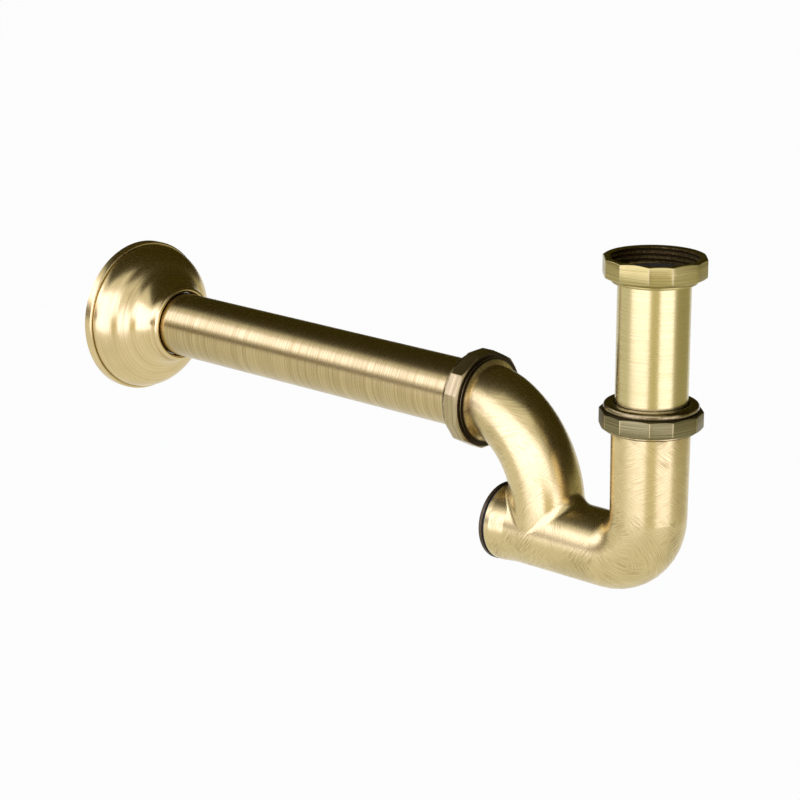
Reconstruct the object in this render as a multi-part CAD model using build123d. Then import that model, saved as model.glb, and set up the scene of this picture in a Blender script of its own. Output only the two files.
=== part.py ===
from build123d import *
from math import cos, radians, sin
import os

# A washbasin trap in millimetres. The inlet stands on the Z axis and the wall is towards -X.
# The origin is the centre of the union nut's mouth, where the basin waste screws in.

# Tubes
tube_r = 16.0
tube_wall = 1.0
wall_plane_x = -335.7

# Twelve-sided nuts: six wide flats alternate with six narrow ones
wide_flat_angle = 34.5

# Union nut at the basin end, drawn with the minor radius of its G 1 1/4 thread
union_thread_step = 3.476
union_thread_depth = 7.4
union_mouth_chamfer = 0.8
union_wall = 2.49
union_top_chamfer = 1.25
union_top_height = 0.7
union_floor = 1.0
union_neck_wall = 2.8
union_neck_height = 1.0
union_chamfer_height = 1.8
union_turn = -15.6

# Flange of the inlet tube and the washer that lies on it
flange_width = 2.0
flange_thickness = 1.0
flange_play = 0.1
washer_thickness = 1.6
washer_gap = 0.1

# Slip joint of a tube in the trap body, measured outwards from the shoulder of the threaded end
socket_play = 0.3
thread_wall = 3.7
thread_play = 0.3
thread_length = 6.3
shoulder_step = 0.4
shoulder_height = 0.6
groove_depth = 0.5
groove_height = 0.4
flare_height = 0.8
mouth_lip = 1.1
mouth_cone_step = 0.9
mouth_cone_depth = 3.9

# Slip nut
nut_gap = 0.4
nut_wall = 1.665
nut_foot_chamfer = 1.2
nut_foot_height = 0.9
nut_crown_chamfer = 1.7
nut_crown_height = 0.5
nut_ring_step = 2.0
nut_ring_height = 3.0
nut_ring_round = 1.6
nut_ring_groove = 0.5
nut_roof = 2.9
nut_hole_play = 0.5
inlet_nut_turn = -10.5
outlet_nut_turn = 27.0

# Wedge seal and slip ring inside a slip joint
seal_gap = 0.1
seal_play = 0.15
seal_flange_inset = 0.4
seal_flange_thickness = 1.0
seal_wedge_play = 0.3
ring_inset = 0.2
ring_thickness = 0.9

# Trap body
body_wall = 1.2
inlet_leg_wall = 1.15
leg_wall = 0.8
riser_step = 0.35
inlet_shoulder_z = -76.4
leg_z = -137.6
bottom_bend_inner_r = 3.6
riser_x = -57.3
riser_straight = 9.34
elbow_angle = 62.3
elbow_inner_r = 32.05
elbow_end_inner_r = 8.15
elbow_overlap = 1.19
outlet_socket_depth = 1.3
tee_fillet = 6.3
cleanout_margin = 6.75
cleanout_collar_step = 0.9
cleanout_collar_length = 2.5
cleanout_collar_taper = 8.0

# Screw plug in the cleanout and its gasket
plug_overhang = 0.2
plug_thickness = 2.1
plug_edge_round = 0.6
plug_thread_play = 0.3
plug_thread_length = 8.4
plug_wall = 2.4
plug_slot_width = 2.4
plug_slot_depth = 1.1
plug_slot_margin = 6.2
gasket_thickness = 1.0
gasket_play = 0.05
gasket_inset = 0.4
gasket_hole_play = 0.15

# Tube ends
inlet_tube_depth = 20.6
tube_stop_play = 0.8
wall_tube_past_wall = 8.0
spigot_length = 36.0
spigot_step = 0.2
tube_end_chamfer = 0.4

# Wall rosette, spun from sheet
rosette_wall = 1.0
rosette_rim_r = 38.6
rosette_rim_width = 4.6
rosette_rim_edge = 0.5
rosette_rim_step = 1.4
rosette_depth = 30.4
rosette_lip_width = 2.1
rosette_lip_length = 2.2
rosette_hole_play = 0.8

# Radii that follow from the tube
socket_r = tube_r + socket_play
nut_hole_r = tube_r + nut_hole_play
thread_male_r = socket_r + thread_wall
flange_r = tube_r + flange_width
union_thread_r = tube_r + union_thread_step
leg_r = socket_r + leg_wall
leg_bore_r = leg_r - body_wall
riser_r = leg_r - riser_step
riser_bore_r = riser_r - body_wall
cleanout_collar_r = leg_r + cleanout_collar_step
plug_r = cleanout_collar_r + plug_overhang
plug_spigot_r = leg_bore_r - plug_thread_play
rosette_hole_r = tube_r + rosette_hole_play

# Corners of the nuts, from the wall that is left at the middle of a wide flat
flat_cosine = cos(radians(wide_flat_angle / 2))
nut_corner_r = (thread_male_r + thread_play + nut_wall) / flat_cosine
union_corner_r = (union_thread_r + union_wall) / flat_cosine
nut_ring_r = nut_corner_r - nut_ring_step

# Heights in a slip joint, from the body's shoulder outwards
seal_bottom = thread_length + seal_gap
seal_top = seal_bottom + seal_flange_thickness
ring_bottom = seal_top + seal_gap
nut_shoulder = ring_bottom + ring_thickness + seal_gap
nut_top = nut_shoulder + nut_roof
nut_ring_bottom = nut_top - nut_ring_height
collar_height = shoulder_height + groove_height + flare_height

# Heights in the union nut, from its mouth downwards
washer_bottom_z = -union_thread_depth - washer_gap - washer_thickness
flange_bottom_z = washer_bottom_z - flange_thickness
union_floor_z = flange_bottom_z - flange_play
union_bottom_z = union_floor_z - union_floor

# Centre line of the trap body
bottom_bend_r = leg_r + bottom_bend_inner_r
elbow_r = riser_r + elbow_inner_r
elbow_end_r = riser_r + elbow_end_inner_r
elbow_turn = radians(elbow_angle)
elbow_start_z = leg_z + riser_straight
outlet_z = elbow_start_z + elbow_r * sin(elbow_turn) + elbow_end_r * (1 - sin(elbow_turn))
elbow_end_x = riser_x - elbow_r * (1 - cos(elbow_turn)) - elbow_end_r * cos(elbow_turn)
outlet_shoulder_x = elbow_end_x + elbow_overlap
cleanout_mouth_x = riser_x - riser_r - cleanout_margin

# Ends of the tubes
inlet_tube_end_z = inlet_shoulder_z - inlet_tube_depth
wall_tube_start_x = outlet_shoulder_x + outlet_socket_depth - tube_stop_play
wall_tube_end_x = wall_plane_x - wall_tube_past_wall

# Where the two slip joints and the horizontal bores stand: local +Z points out of the body
inlet_place = Plane(origin=(0, 0, inlet_shoulder_z), x_dir=(1, 0, 0), z_dir=(0, 0, 1))
outlet_place = Plane(origin=(outlet_shoulder_x, 0, outlet_z), x_dir=(0, 0, 1), z_dir=(-1, 0, 0))
cleanout_place = Plane(origin=(cleanout_mouth_x, 0, leg_z), x_dir=(0, 0, 1), z_dir=(-1, 0, 0))
rosette_place = Plane(origin=(wall_plane_x, 0, outlet_z), x_dir=(0, 0, 1), z_dir=(1, 0, 0))


def turned(points):
    """Solid of revolution about Z of the outline given by (radius, height) points."""
    outline = make_face(Polyline(points, close=True))
    return revolve(Plane.XZ * outline, axis=Axis.Z)


def rod(radius, start, end):
    """Solid cylinder on the Z axis between two heights."""
    return turned([(0, start), (radius, start), (radius, end), (0, end)])


def tube(outer_r, inner_r, start, end):
    """Plain ring on the Z axis between two heights."""
    return turned([(inner_r, start), (outer_r, start), (outer_r, end), (inner_r, end)])


def twelve_sided(corner_r, start, end, turn):
    """Prism with alternating wide and narrow flats, turned about Z."""
    corners = []
    for flat in range(6):
        for side in (-0.5, 0.5):
            angle = radians(turn + 60 * flat + side * wide_flat_angle)
            corners.append((corner_r * cos(angle), corner_r * sin(angle)))
    outline = make_face(Polyline(corners, close=True))
    return Pos(0, 0, start) * extrude(outline, amount=end - start)


def slip_nut(turn):
    """Slip nut with a round shoulder ring on top, measured from the body's shoulder."""
    cavity_r = thread_male_r + thread_play
    envelope = turned(
        [
            (0, nut_gap),
            (nut_corner_r - nut_foot_chamfer, nut_gap),
            (nut_corner_r, nut_gap + nut_foot_height),
            (nut_corner_r, nut_ring_bottom - nut_crown_height),
            (nut_corner_r - nut_crown_chamfer, nut_ring_bottom),
            (0, nut_ring_bottom),
        ]
    )
    flats = twelve_sided(nut_corner_r, nut_gap, nut_ring_bottom, turn) & envelope
    ring = rod(nut_ring_r, nut_ring_bottom, nut_top)
    ring = fillet(ring.edges().sort_by(Axis.Z)[-1], nut_ring_round)
    groove_top = nut_ring_bottom + nut_ring_groove
    groove = tube(nut_corner_r, nut_ring_r - nut_ring_groove, nut_ring_bottom, groove_top)
    bore = turned(
        [
            (0, nut_gap),
            (cavity_r, nut_gap),
            (cavity_r, nut_shoulder),
            (nut_hole_r, nut_shoulder),
            (nut_hole_r, nut_top),
            (0, nut_top),
        ]
    )
    return flats + (ring - groove) - bore


def cone_seal():
    """Rubber seal: a flange on the body's mouth and a wedge inside it."""
    inner_r = tube_r + seal_play
    flange_r = thread_male_r - seal_flange_inset
    wedge_end = thread_length - mouth_cone_depth + seal_wedge_play
    return turned(
        [
            (inner_r, wedge_end),
            (socket_r + mouth_cone_step - seal_wedge_play, wedge_end),
            (thread_male_r - mouth_lip - seal_wedge_play, seal_bottom),
            (flange_r, seal_bottom),
            (flange_r, seal_top),
            (inner_r, seal_top),
        ]
    )


def friction_ring():
    """Thin slip ring between the seal and the nut's inner shoulder."""
    return tube(thread_male_r - ring_inset, nut_hole_r, ring_bottom, ring_bottom + ring_thickness)


def union_nut():
    """Union nut open at the top, with a floor that carries the tube's flange."""
    envelope = turned(
        [
            (0, union_bottom_z),
            (tube_r + union_neck_wall, union_bottom_z),
            (tube_r + union_neck_wall, union_bottom_z + union_neck_height),
            (union_corner_r, union_bottom_z + union_neck_height + union_chamfer_height),
            (union_corner_r, -union_top_height),
            (union_corner_r - union_top_chamfer, 0),
            (0, 0),
        ]
    )
    recess_r = flange_r + socket_play
    bore = turned(
        [
            (0, union_bottom_z),
            (nut_hole_r, union_bottom_z),
            (nut_hole_r, union_floor_z),
            (recess_r, union_floor_z),
            (recess_r, -union_thread_depth),
            (union_thread_r, -union_thread_depth),
            (union_thread_r, -union_mouth_chamfer),
            (union_thread_r + union_mouth_chamfer, 0),
            (0, 0),
        ]
    )
    flats = twelve_sided(union_corner_r, union_bottom_z, 0, union_turn)
    return (flats & envelope) - bore


def inlet_tube():
    """Inlet tube with its flange, chamfered where it enters the trap body."""
    inner_r = tube_r - tube_wall
    return turned(
        [
            (inner_r, inlet_tube_end_z),
            (tube_r - tube_end_chamfer, inlet_tube_end_z),
            (tube_r, inlet_tube_end_z + tube_end_chamfer),
            (tube_r, flange_bottom_z),
            (flange_r, flange_bottom_z),
            (flange_r, washer_bottom_z),
            (inner_r, washer_bottom_z),
        ]
    )


def wall_tube():
    """Straight tube along X with a slightly smaller spigot at the wall end."""
    inner_r = tube_r - tube_wall
    spigot_r = tube_r - spigot_step
    length = wall_tube_start_x - wall_tube_end_x
    shape = turned(
        [
            (inner_r, 0),
            (tube_r - tube_end_chamfer, 0),
            (tube_r, tube_end_chamfer),
            (tube_r, length - spigot_length - spigot_step),
            (spigot_r, length - spigot_length),
            (spigot_r, length),
            (inner_r, length),
        ]
    )
    place = Plane(origin=(wall_tube_start_x, 0, outlet_z), x_dir=(0, 0, 1), z_dir=(-1, 0, 0))
    return place * shape


def threaded_end(leg_radius):
    """Outside of a threaded end: a flare rooted in the leg's wall, a groove, a shoulder and the thread."""
    groove_r = thread_male_r - groove_depth
    shoulder_r = thread_male_r + shoulder_step
    root_r = leg_radius - body_wall / 2
    root_depth = flare_height * (leg_radius - root_r) / (groove_r - leg_radius)
    return turned(
        [
            (0, -collar_height - root_depth),
            (root_r, -collar_height - root_depth),
            (groove_r, -shoulder_height - groove_height),
            (groove_r, -shoulder_height),
            (shoulder_r, -shoulder_height),
            (shoulder_r, 0),
            (thread_male_r, 0),
            (thread_male_r, thread_length),
            (0, thread_length),
        ]
    )


def socket_bore(bottom):
    """Inside of a threaded end: the tube's socket and the conical mouth for the seal."""
    return turned(
        [
            (0, bottom),
            (socket_r, bottom),
            (socket_r, thread_length - mouth_cone_depth),
            (socket_r + mouth_cone_step, thread_length - mouth_cone_depth),
            (thread_male_r - mouth_lip, thread_length),
            (0, thread_length),
        ]
    )


def bend(radius, start, direction, centre, angle):
    """Quarter or part of a torus: a disc turned about an axis parallel to Y."""
    disc = Plane(origin=start, z_dir=direction) * Circle(radius)
    axis = Axis(centre, (0, -1, 0))
    return revolve(disc, axis=axis, revolution_arc=angle)


def bottom_bend(radius):
    """Bend from the inlet leg, which comes down, into the horizontal leg."""
    top_z = leg_z + bottom_bend_r
    centre = (-bottom_bend_r, 0, top_z)
    disc = Plane(origin=(0, 0, top_z), z_dir=(0, 0, -1)) * Circle(radius)
    return revolve(disc, axis=Axis(centre, (0, 1, 0)), revolution_arc=90)


def riser(radius):
    """Riser from the horizontal leg and its elbow, in two tangent arcs, to the outlet axis."""
    straight = Pos(riser_x, 0, 0) * rod(radius, leg_z, elbow_start_z)
    first_centre = (riser_x - elbow_r, 0, elbow_start_z)
    first = bend(radius, (riser_x, 0, elbow_start_z), (0, 0, 1), first_centre, elbow_angle)
    joint_x = riser_x - elbow_r * (1 - cos(elbow_turn))
    joint_z = elbow_start_z + elbow_r * sin(elbow_turn)
    along = (-sin(elbow_turn), 0, cos(elbow_turn))
    second_centre = (elbow_end_x, 0, outlet_z - elbow_end_r)
    second = bend(radius, (joint_x, 0, joint_z), along, second_centre, 90 - elbow_angle)
    return straight + first + second


def horizontal_leg(radius, end_x):
    """Round bar along X from the bottom bend to the cleanout."""
    place = Plane(origin=(-bottom_bend_r, 0, leg_z), x_dir=(0, 0, 1), z_dir=(-1, 0, 0))
    return place * rod(radius, 0, -bottom_bend_r - end_x)


def trap_body():
    """The casting: two threaded ends joined by a leg, a bend, a horizontal leg, a riser and an elbow."""
    bend_top = leg_z + bottom_bend_r
    leg_top = inlet_shoulder_z - collar_height
    inlet_leg_r = socket_r + inlet_leg_wall
    tee = horizontal_leg(leg_r, cleanout_mouth_x) + riser(riser_r)
    crotch = []
    for edge in tee.edges():
        middle = edge.center()
        near_riser = abs(middle.X - riser_x) < riser_r + tee_fillet
        on_leg = abs(((middle.Z - leg_z) ** 2 + middle.Y**2) ** 0.5 - leg_r) < tee_fillet
        if near_riser and on_leg and edge.geom_type not in (GeomType.CIRCLE, GeomType.LINE):
            crotch.append(edge)
    tee = fillet(crotch, tee_fillet)
    inlet_leg = turned([(0, bend_top), (leg_r, bend_top), (inlet_leg_r, leg_top), (0, leg_top)])
    collar_end = cleanout_collar_length + cleanout_collar_taper
    collar = turned(
        [
            (0, 0),
            (cleanout_collar_r, 0),
            (cleanout_collar_r, -cleanout_collar_length),
            (leg_r, -collar_end),
            (0, -collar_end),
        ]
    )
    outside = tee + bottom_bend(leg_r) + inlet_leg + cleanout_place * collar
    outside += inlet_place * threaded_end(inlet_leg_r)
    outside += outlet_place * threaded_end(riser_r)
    inside = horizontal_leg(leg_bore_r, cleanout_mouth_x) + bottom_bend(leg_bore_r) + riser(riser_bore_r)
    inside += inlet_place * socket_bore(bend_top - inlet_shoulder_z)
    inside += outlet_place * socket_bore(-outlet_socket_depth)
    return outside - inside


def cleanout_plug():
    """Screw plug: a slotted disc with a hollow threaded spigot."""
    face = gasket_thickness + 2 * gasket_play
    disc = rod(plug_r, face, face + plug_thickness)
    disc = fillet(disc.edges().sort_by(Axis.Z)[-1], plug_edge_round)
    spigot = tube(plug_spigot_r, plug_spigot_r - plug_wall, face - plug_thread_length, face)
    slot_length = 2 * (plug_r - plug_slot_margin)
    slot = Pos(0, 0, face + plug_thickness) * Box(plug_slot_width, slot_length, 2 * plug_slot_depth)
    return cleanout_place * (disc + spigot - slot)


def cleanout_gasket():
    """Flat black ring between the plug's disc and the cleanout mouth."""
    outer_r = cleanout_collar_r - gasket_inset
    inner_r = plug_spigot_r + gasket_hole_play
    return cleanout_place * tube(outer_r, inner_r, gasket_play, gasket_play + gasket_thickness)


def union_washer():
    """Flat rubber washer on the tube's flange, inside the union nut."""
    return tube(flange_r, tube_r - tube_wall, washer_bottom_z, washer_bottom_z + washer_thickness)


def wall_rosette():
    """Bell of spun sheet: a flat rim, a convex dome that turns concave, and a rolled lip."""
    dome_r = rosette_rim_r - rosette_rim_step
    neck_r = rosette_hole_r + rosette_lip_width
    dome_start = rosette_rim_width
    dome_length = rosette_depth - dome_start
    dome_drop = dome_r - neck_r
    lip_end = rosette_depth + rosette_lip_length
    middle = (dome_r - dome_drop / 2, dome_start + dome_length / 2)
    sweep_r = (dome_length**2 + dome_drop**2) / (4 * dome_drop)
    dome_centre = (dome_r - sweep_r, dome_start)
    neck_centre = (neck_r + sweep_r, rosette_depth)

    def ogee(offset):
        """Two equal arcs, tangent in the middle, moved inwards by the sheet's thickness."""
        tilt = ((middle[0] - dome_centre[0]) / sweep_r, (middle[1] - dome_centre[1]) / sweep_r)
        half = (((1 + tilt[0]) / 2) ** 0.5, ((1 - tilt[0]) / 2) ** 0.5)
        dome_small = sweep_r - offset
        neck_big = sweep_r + offset
        start = (dome_centre[0] + dome_small, dome_start)
        bulge = (dome_centre[0] + dome_small * half[0], dome_start + dome_small * half[1])
        turn = (dome_centre[0] + dome_small * tilt[0], dome_start + dome_small * tilt[1])
        hollow = (neck_centre[0] - neck_big * half[0], rosette_depth - neck_big * half[1])
        end = (neck_centre[0] - neck_big, rosette_depth)
        return start, ThreePointArc(start, bulge, turn), ThreePointArc(turn, hollow, end), end

    outer_start, outer_dome, outer_neck, outer_end = ogee(0)
    inner_start, inner_dome, inner_neck, inner_end = ogee(rosette_wall)
    rim_inner_r = rosette_rim_r - rosette_wall
    step = dome_start - rosette_wall
    rim_side = Polyline(
        inner_start,
        (inner_start[0], step),
        (rim_inner_r, step),
        (rim_inner_r, 0),
        (rosette_rim_r, 0),
        (rosette_rim_r, dome_start - rosette_rim_edge),
        (rosette_rim_r - rosette_rim_edge, dome_start),
        outer_start,
    )
    lip_middle = ((neck_r + rosette_hole_r) / 2, lip_end)
    lip_corner = (rosette_hole_r, rosette_depth)
    lip_side = [ThreePointArc(outer_end, lip_middle, lip_corner), Line(lip_corner, inner_end)]
    outline = make_face([rim_side, outer_dome, outer_neck, *lip_side, inner_neck, inner_dome])
    return rosette_place * revolve(Plane.XZ * outline, axis=Axis.Z)


nodes = {
    "union_nut": union_nut(),
    "union_washer": union_washer(),
    "inlet_tube": inlet_tube(),
    "inlet_slip_nut": inlet_place * slip_nut(inlet_nut_turn),
    "inlet_friction_ring": inlet_place * friction_ring(),
    "inlet_cone_seal": inlet_place * cone_seal(),
    "trap_body": trap_body(),
    "cleanout_gasket": cleanout_gasket(),
    "cleanout_plug": cleanout_plug(),
    "outlet_cone_seal": outlet_place * cone_seal(),
    "outlet_friction_ring": outlet_place * friction_ring(),
    "outlet_slip_nut": outlet_place * slip_nut(outlet_nut_turn),
    "wall_tube": wall_tube(),
    "wall_rosette": wall_rosette(),
}

os.makedirs("parts", exist_ok=True)
for name, shape in nodes.items():
    export_step(shape, f"parts/{name}.step")
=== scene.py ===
# %% [markdown]
# A basin trap in antique brushed brass.
#
# The trap carries waste water from a washbasin to the wall. Its solid pieces come from the packed
# model, in metres, with the origin at the centre of the union nut's mouth, +Z up and the wall
# towards -X. This lesson dresses them: it cuts threads, rounds the edges that catch the light and
# gives each piece its own finish.

# %% Load the model
from math import atan2, cos, degrees, pi, radians, sin, tan

import bmesh
import bpy
from mathutils import Matrix, Vector


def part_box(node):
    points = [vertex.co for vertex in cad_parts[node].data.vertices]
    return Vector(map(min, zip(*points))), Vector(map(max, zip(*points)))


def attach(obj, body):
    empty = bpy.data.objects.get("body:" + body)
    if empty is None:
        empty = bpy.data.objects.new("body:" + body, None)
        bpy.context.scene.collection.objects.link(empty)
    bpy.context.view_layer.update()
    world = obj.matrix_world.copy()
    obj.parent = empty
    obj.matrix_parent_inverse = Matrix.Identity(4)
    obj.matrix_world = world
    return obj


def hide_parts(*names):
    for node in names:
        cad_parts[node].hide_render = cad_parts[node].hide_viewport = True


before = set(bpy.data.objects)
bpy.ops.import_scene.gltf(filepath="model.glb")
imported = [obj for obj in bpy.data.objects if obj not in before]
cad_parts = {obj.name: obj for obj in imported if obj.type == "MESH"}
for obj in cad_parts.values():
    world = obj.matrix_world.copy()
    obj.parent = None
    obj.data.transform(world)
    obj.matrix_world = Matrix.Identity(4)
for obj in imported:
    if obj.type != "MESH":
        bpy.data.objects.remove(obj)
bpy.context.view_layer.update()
MM = 0.001
print("nodes:", ", ".join(sorted(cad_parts)))

# %% [markdown]
# The camera comes first, because every finish is judged through it. A fit to the photograph gave a
# long lens that looks down at the trap from the front right. The render is square, so the lens and
# the sensor are stated for a square picture.

# %% Camera
LOOK_AT = Vector((-150.34, -0.12, -93.16)) * MM
CAMERA_AZIMUTH = radians(43.45)
CAMERA_ELEVATION = radians(15.65)
CAMERA_DISTANCE = 1243.6 * MM
LENS = 117.74
SENSOR = 36.0

to_camera = Vector((sin(CAMERA_AZIMUTH), -cos(CAMERA_AZIMUTH), 0))
to_right = Vector((cos(CAMERA_AZIMUTH), sin(CAMERA_AZIMUTH), 0))
sight = to_camera * cos(CAMERA_ELEVATION) + Vector((0, 0, sin(CAMERA_ELEVATION)))

camera_data = bpy.data.cameras.new("camera")
camera_data.lens = LENS
camera_data.sensor_width = SENSOR
camera_data.sensor_height = SENSOR
camera_data.sensor_fit = "HORIZONTAL"
camera = bpy.data.objects.new("camera", camera_data)
camera.location = LOOK_AT + sight * CAMERA_DISTANCE
camera.rotation_euler = sight.to_track_quat("Z", "Y").to_euler()
bpy.context.scene.collection.objects.link(camera)
bpy.context.scene.camera = camera
print("camera at", tuple(round(v, 4) for v in camera.location))

# %% [markdown]
# Shader maths reads best as plain arithmetic. A `Wire` is the output of a node, and adding or
# multiplying two wires adds the Math node that does it. A `Finish` is one material, and its `node`
# method makes every other kind of node. The world is built with the same method.

# %% Wires and finishes
class Wire:
    """The output of a shader node, which can be used in sums like a number."""

    def __init__(self, finish, socket):
        self.finish = finish
        self.socket = socket

    def maths(self, operation, *values, clamp=False):
        settings = {"operation": operation, "use_clamp": clamp}
        return self.finish.node("ShaderNodeMath", settings, values)

    def __add__(self, other):
        return self.maths("ADD", self, other)

    def __radd__(self, other):
        return self.maths("ADD", other, self)

    def __sub__(self, other):
        return self.maths("SUBTRACT", self, other)

    def __rsub__(self, other):
        return self.maths("SUBTRACT", other, self)

    def __mul__(self, other):
        return self.maths("MULTIPLY", self, other)

    def __rmul__(self, other):
        return self.maths("MULTIPLY", other, self)

    def __truediv__(self, other):
        return self.maths("DIVIDE", self, other)

    def __pow__(self, other):
        return self.maths("POWER", self, other)

    def clamped(self):
        return self.maths("ADD", self, 0.0, clamp=True)

    def rise(self, start, end):
        """0 up to start, 1 from end on, with a smooth climb between them."""
        values = {0: self, 1: start, 2: end, 3: 0.0, 4: 1.0}
        return self.finish.node("ShaderNodeMapRange", {"interpolation_type": "SMOOTHSTEP"}, values)

    def between(self, first, second):
        """The first wire where this one is 0 and the second where it is 1."""
        return first * (1 - self) + second * self


class Finish:
    """A material that is built node by node around one Principled shader."""

    def __init__(self, name):
        self.material = bpy.data.materials.new(name)
        self.material.use_nodes = True
        self.tree = self.material.node_tree
        self.shader = self.tree.nodes["Principled BSDF"]

    def node(self, kind, settings=None, inputs=(), output=0):
        """Adds a node, sets its options, then gives its sockets values or wires."""
        made = self.tree.nodes.new(kind)
        for option, value in (settings or {}).items():
            setattr(made, option, value)
        pairs = inputs.items() if isinstance(inputs, dict) else enumerate(inputs)
        for socket, value in pairs:
            self.set(made.inputs[socket], value)
        return Wire(self, made.outputs[output])

    def set(self, socket, value):
        if isinstance(value, Wire):
            self.tree.links.new(value.socket, socket)
        else:
            socket.default_value = value

    def surface(self, **values):
        """Sets the Principled shader's sockets; an underscore stands for a space."""
        for name, value in values.items():
            self.set(self.shader.inputs[name.replace("_", " ")], value)

    def place(self):
        """The point on the piece, in the frame's own metres, as three wires."""
        point = self.node("ShaderNodeTexCoord", output="Object")
        return [self.node("ShaderNodeSeparateXYZ", None, [point], axis) for axis in range(3)]

    def vector(self, x, y, z):
        return self.node("ShaderNodeCombineXYZ", None, [x, y, z])

    def noise(self, vector, scale, detail, roughness):
        values = {"Vector": vector, "Scale": scale, "Detail": detail, "Roughness": roughness}
        return self.node("ShaderNodeTexNoise", None, values)

    def mixed(self, share, first, second):
        """A colour that goes from the first to the second as the share goes from 0 to 1."""
        values = {0: share, 6: first, 7: second}
        return self.node("ShaderNodeMix", {"data_type": "RGBA"}, values, 2)

    def bump(self, height, depth):
        values = {"Height": height, "Distance": depth, "Strength": 1.0}
        return self.node("ShaderNodeBump", None, values)


class Surroundings(Finish):
    """The world, whose nodes are made in the same way around its Background shader."""

    def __init__(self, name):
        self.world = bpy.data.worlds.new(name)
        self.world.use_nodes = True
        self.tree = self.world.node_tree
        self.shader = self.tree.nodes["Background"]


def colour(red, green, blue):
    return (red, green, blue, 1.0)


print("finishes are ready to be mixed")

# %% [markdown]
# Most of the brass was brushed in a lathe: each piece turned while an abrasive pad was held
# against it, so the marks run round its axis. Noise that is squeezed along the axis and stretched
# round it draws such lines. The same noise goes into the colour, the roughness and the bump, as
# on the real metal, where a groove is darker, rougher and deeper than its neighbour. A slower
# noise adds the clouds of brown that the antique stain leaves behind.

# %% Brass brushed round an axis
STAIN = colour(0.16, 0.105, 0.030)
# Nearly black brass for grooves and thread roots: painted shade.
PAINTED_CREVICE_SHADE = colour(0.040, 0.028, 0.010)
TURN_RATE = 26.0
TURN_SLANT = 0.7
WIDE_MARK = 3.5
WIDE_TURN = 0.6
FINE_SHARE = 0.75
CLOUD_SCALE = 42.0
LINE_ROUGHNESS = 0.28
STAIN_ROUGHNESS = 0.15


def lathe_marks(finish, height, radius, turn, pitch, detail):
    """Noise with this pitch along the axis and outwards, which changes slowly round the axis."""
    return finish.noise(finish.vector(height / pitch, radius / pitch, turn), 1.0, detail, 0.6)


def lathe_brass(name, axis, centre, light, dark, rough, pitch, depth, cloud, bend_with_radius=True):
    """Brass brushed round an axis through centre. Pitch is the spacing of the finest marks."""
    finish = Finish(name)
    x, y, z = finish.place()
    if axis == "X":
        height = x
        across = y - centre[1]
        upward = z - centre[2]
    else:
        height = z
        across = x - centre[0]
        upward = y - centre[1]
    radius = (across * across + upward * upward) ** 0.5 if bend_with_radius else 0.0
    slow_turn = (across + upward * TURN_SLANT) * TURN_RATE
    fine = lathe_marks(finish, height, radius, slow_turn, pitch, 2.0)
    wide = lathe_marks(finish, height, radius, slow_turn * WIDE_TURN, pitch * WIDE_MARK, 3.0)
    lines = fine * FINE_SHARE + wide * (1 - FINE_SHARE)
    clouds = finish.noise(finish.vector(x, y, z), CLOUD_SCALE, 4.0, 0.55)
    stained = clouds.rise(0.46, 0.72) * cloud
    metal = finish.mixed(lines.rise(0.30, 0.66), dark, light)
    finish.surface(
        Base_Color=finish.mixed(stained, metal, STAIN),
        Metallic=1.0,
        Roughness=(rough + (0.5 - lines) * LINE_ROUGHNESS + stained * STAIN_ROUGHNESS).clamped(),
        Normal=finish.bump(lines, depth),
    )
    return finish.material


wall_centre = sum(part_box("wall_tube"), Vector()) / 2
inlet_centre = sum(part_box("inlet_tube"), Vector()) / 2
tube_brass = lathe_brass(
    "wall_tube_brushed_brass", "X", wall_centre, colour(0.57, 0.460, 0.222), colour(0.35, 0.260, 0.100),
    rough=0.25, pitch=0.34 * MM, depth=0.012 * MM, cloud=0.14,
)
rosette_brass = lathe_brass(
    "rosette_spun_brass", "X", wall_centre, colour(0.72, 0.575, 0.290), colour(0.58, 0.450, 0.200),
    rough=0.24, pitch=0.42 * MM, depth=0.0006 * MM, cloud=0.12,
)
inlet_brass = lathe_brass(
    "inlet_tube_satin_brass", "Z", inlet_centre, colour(0.58, 0.490, 0.225), colour(0.50, 0.415, 0.170),
    rough=0.25, pitch=0.34 * MM, depth=0.0010 * MM, cloud=0.10,
)
print("three turned finishes")

# %% [markdown]
# The trap body is a casting, too crooked for a lathe, so a hand pad rubbed it in short strokes
# this way and that. A stroke has to lie on the metal, so the noise is drawn on each pipe's own
# unrolled surface: one coordinate runs round the pipe and the other along it. Two slants cross,
# and a slow noise chooses which one shows. Soft masks pass from pipe to pipe, and the bottom bend
# is unrolled as part of a torus, because flat coordinates would make a whorl there.

# %% Strokes on the casting
PIPE_R = 17.0 * MM
STROKE_LENGTH = 7.5 * MM
STROKE_WIDTH = 0.30 * MM
FIRST_SLANT = 38
SECOND_SLANT = -24
RISER_X = -57.3 * MM
BEND_R = 20.7 * MM
LEG_TOP = (-125 * MM, -118 * MM)
RISER_SIDE = (-32 * MM, -42 * MM)
OUTLET_SIDE = (-78 * MM, -86 * MM)
BEND_SIDE = (-1 * MM, 1 * MM)
plug_low, plug_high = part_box("cleanout_plug")
leg_z = (plug_low.z + plug_high.z) / 2
outlet_z = wall_centre.z


def slanted_strokes(finish, around, along, slant):
    """Noise drawn out into strokes at a slant, in degrees, to the way round the pipe."""
    lengthwise = around * cos(radians(slant)) + along * sin(radians(slant))
    crosswise = along * cos(radians(slant)) - around * sin(radians(slant))
    vector = finish.vector(lengthwise / STROKE_LENGTH, crosswise / STROKE_WIDTH, slant)
    return finish.noise(vector, 1.0, 2.0, 0.6)


def pipe_strokes(finish, outwards, y, along, choice):
    """Crossing strokes on a pipe. Outwards and -y are its two cross directions, along its axis."""
    around = outwards.maths("ARCTAN2", outwards, y * -1.0) * PIPE_R
    return choice.between(
        slanted_strokes(finish, around, along, FIRST_SLANT),
        slanted_strokes(finish, around, along, SECOND_SLANT),
    )


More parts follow.
